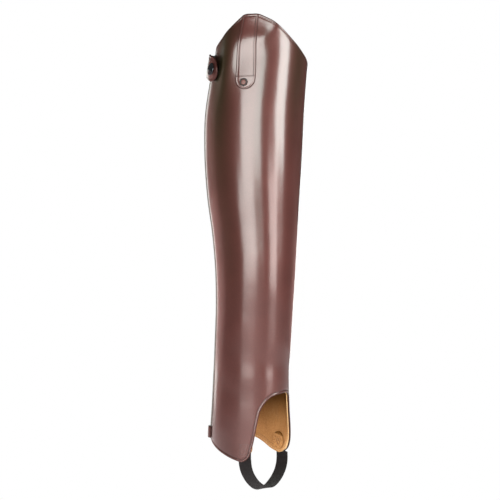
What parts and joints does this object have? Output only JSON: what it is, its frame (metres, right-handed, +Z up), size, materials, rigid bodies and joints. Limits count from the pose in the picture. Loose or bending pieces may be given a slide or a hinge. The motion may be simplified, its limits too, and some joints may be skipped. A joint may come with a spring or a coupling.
{
  "type": "half chap",
  "caption": "Leather half chap for the right leg: a tall peaked calf gaiter with an outer back zip, snap tab, instep arch and elastic foot strap.",
  "frame": {"origin": "the middle of the leg at the fullest part of the calf, where the wearer's leg holds the half chap", "axes": "+Z up the leg towards the knee, -Y towards the shin and toes, -X towards the outer side of the right leg"},
  "size_m": [0.1022, 0.1139, 0.4979],
  "materials": {
    "oxblood_leather": "smooth polished grain",
    "tan_lining": "soft matt",
    "brown_stud": "satin",
    "dark_metal": "gloss black over steel",
    "zip_metal": "dark antique",
    "zip_tape": "woven",
    "black_elastic": "ribbed"
  },
  "bodies": {
    "root": {"shell": "oxblood_leather", "lining": "tan_lining", "pull_strap": "oxblood_leather", "snap_tab": "oxblood_leather", "zip_end_patch": "oxblood_leather", "strap_stud": "brown_stud", "snap_cap": "dark_metal", "snap_socket": "dark_metal", "zip_chain": "zip_metal", "zip_slider": "zip_metal", "zip_pull": "zip_metal", "zip_tape": "zip_tape", "elastic": "black_elastic"}
  },
  "joints": []
}
